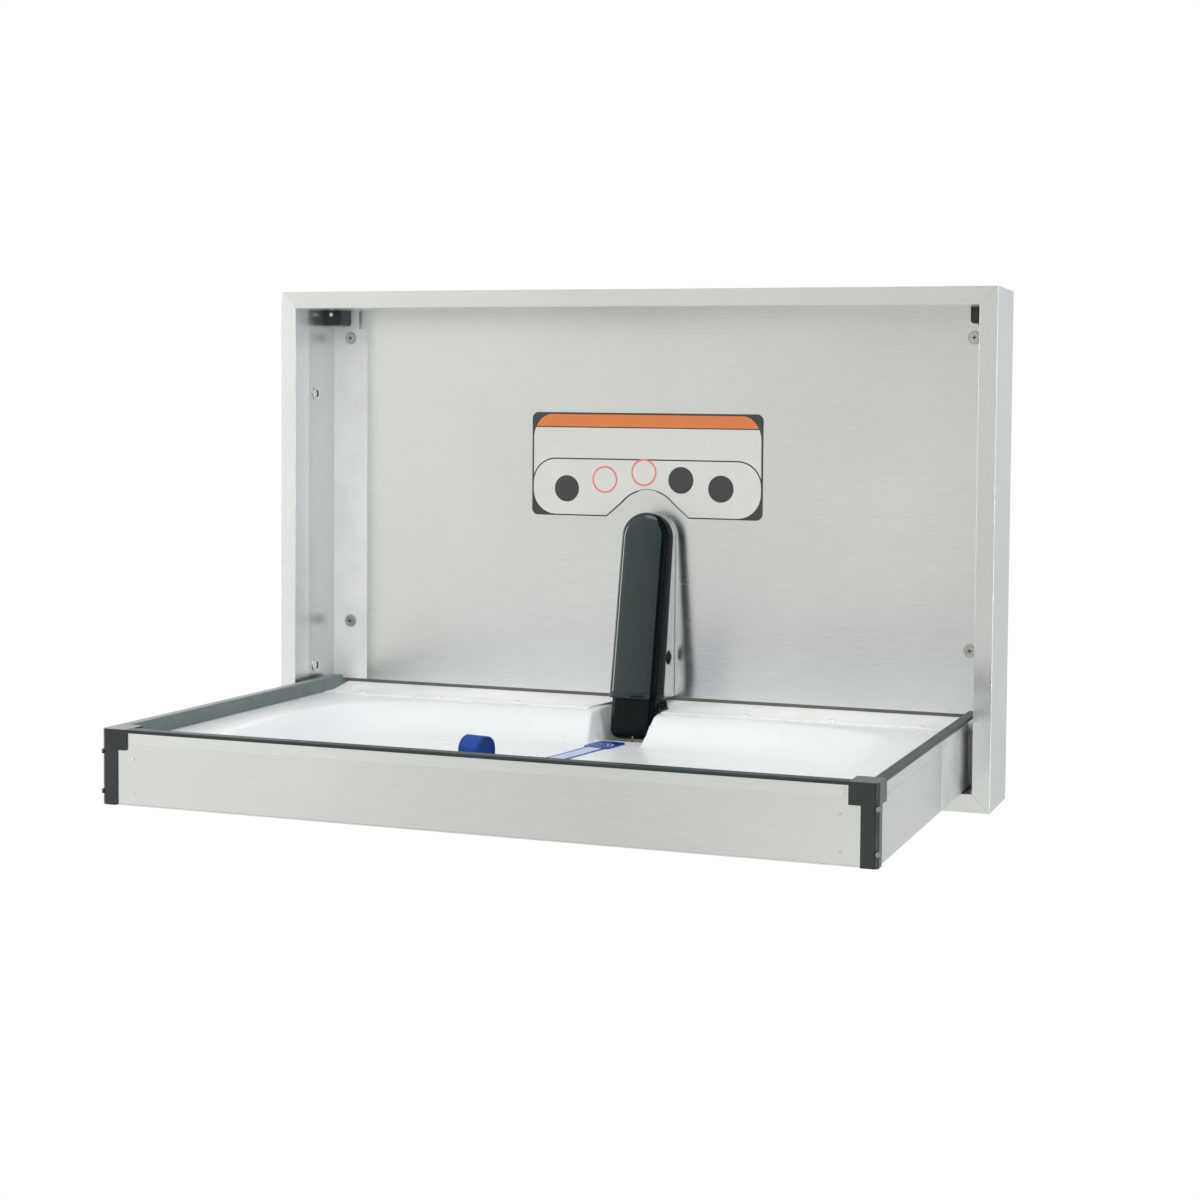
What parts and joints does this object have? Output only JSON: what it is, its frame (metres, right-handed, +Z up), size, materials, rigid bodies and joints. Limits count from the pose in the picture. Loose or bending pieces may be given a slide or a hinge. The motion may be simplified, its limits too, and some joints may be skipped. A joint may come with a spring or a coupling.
{
  "type": "baby changing station",
  "caption": "Wall-mounted stainless steel baby changing station: a framed cabinet with a fold-down bed, a moulded dish liner, a covered gas strut and a strap.",
  "frame": {"origin": "on the wall plane behind the back panel, in the middle of the frame's width and height", "axes": "+X to the viewer's right, +Y into the wall, so the front faces -Y, +Z up"},
  "size_m": [0.9018, 0.4924, 0.5842],
  "materials": {
    "brushed_sheet": "satin brushed",
    "bright_hardware": "bright",
    "dark_plastic": "gloss",
    "trim": "satin",
    "liner": "satin",
    "plate": "gloss",
    "cylinder": "gloss",
    "copper_pin": "bright",
    "strap_plastic": "gloss",
    "webbing": "woven"
  },
  "bodies": {
    "cabinet": {"back_panel": "brushed_sheet", "side_wall_left": "brushed_sheet", "side_wall_right": "brushed_sheet", "top_wall": "brushed_sheet", "bottom_wall": "brushed_sheet", "frame_left": "brushed_sheet", "frame_right": "brushed_sheet", "frame_top": "brushed_sheet", "frame_bottom": "brushed_sheet", "side_hole_rims": "bright_hardware", "corner_bumpers": "dark_plastic", "wall_washers": "bright_hardware", "wall_screws": "bright_hardware", "notice_plate": "plate", "hinge_pins": "bright_hardware", "hinge_collars": "bright_hardware", "strut_channel": "brushed_sheet", "channel_rivets": "bright_hardware", "pivot_bracket": "brushed_sheet", "pivot_pin": "bright_hardware"},
    "bed": {"bed_bottom": "brushed_sheet", "bed_front": "brushed_sheet", "bed_rear": "brushed_sheet", "bed_side_left": "brushed_sheet", "bed_side_right": "brushed_sheet", "hinge_bosses": "bright_hardware", "bed_liner": "liner", "rear_rail_left": "brushed_sheet", "rear_rail_right": "brushed_sheet", "rail_rivets": "bright_hardware", "edge_trim_front": "trim", "edge_trim_left": "trim", "edge_trim_right": "trim", "corner_guard_left": "dark_plastic", "corner_guard_right": "dark_plastic", "guard_screws": "bright_hardware", "foot_bracket": "brushed_sheet", "foot_rivets": "bright_hardware", "strap_pad": "strap_plastic", "strap_rivet": "bright_hardware", "strap_webbing": "webbing", "strap_loop": "webbing"},
    "strut_upper": {"strut_cover": "dark_plastic", "gas_cylinder": "cylinder"},
    "strut_lower": {"strut_sleeve": "dark_plastic", "gas_rod": "bright_hardware", "foot_pin": "bright_hardware", "split_pin": "copper_pin"}
  },
  "joints": [
    {"name": "bed_fold", "type": "hinge", "parent": "cabinet", "child": "bed", "pos_m": [0, -0.02, -0.2061], "axis": [-1, 0, 0], "range_deg": [0, 90]},
    {"name": "strut_swing", "type": "hinge", "parent": "cabinet", "child": "strut_upper", "pos_m": [0.012, -0.021, -0.0021], "axis": [1, 0, 0], "range_deg": [0, 4.4]},
    {"name": "strut_slide", "type": "slide", "parent": "strut_upper", "child": "strut_lower", "axis": [0, 0.1337, 0.991], "range_m": [0, 0.04276]}
  ],
  "couplings": [
    {"joint": "strut_swing", "follows": "bed_fold", "ratio": 0.048807},
    {"joint": "strut_slide", "follows": "bed_fold", "m_per_rad": 0.027158}
  ]
}
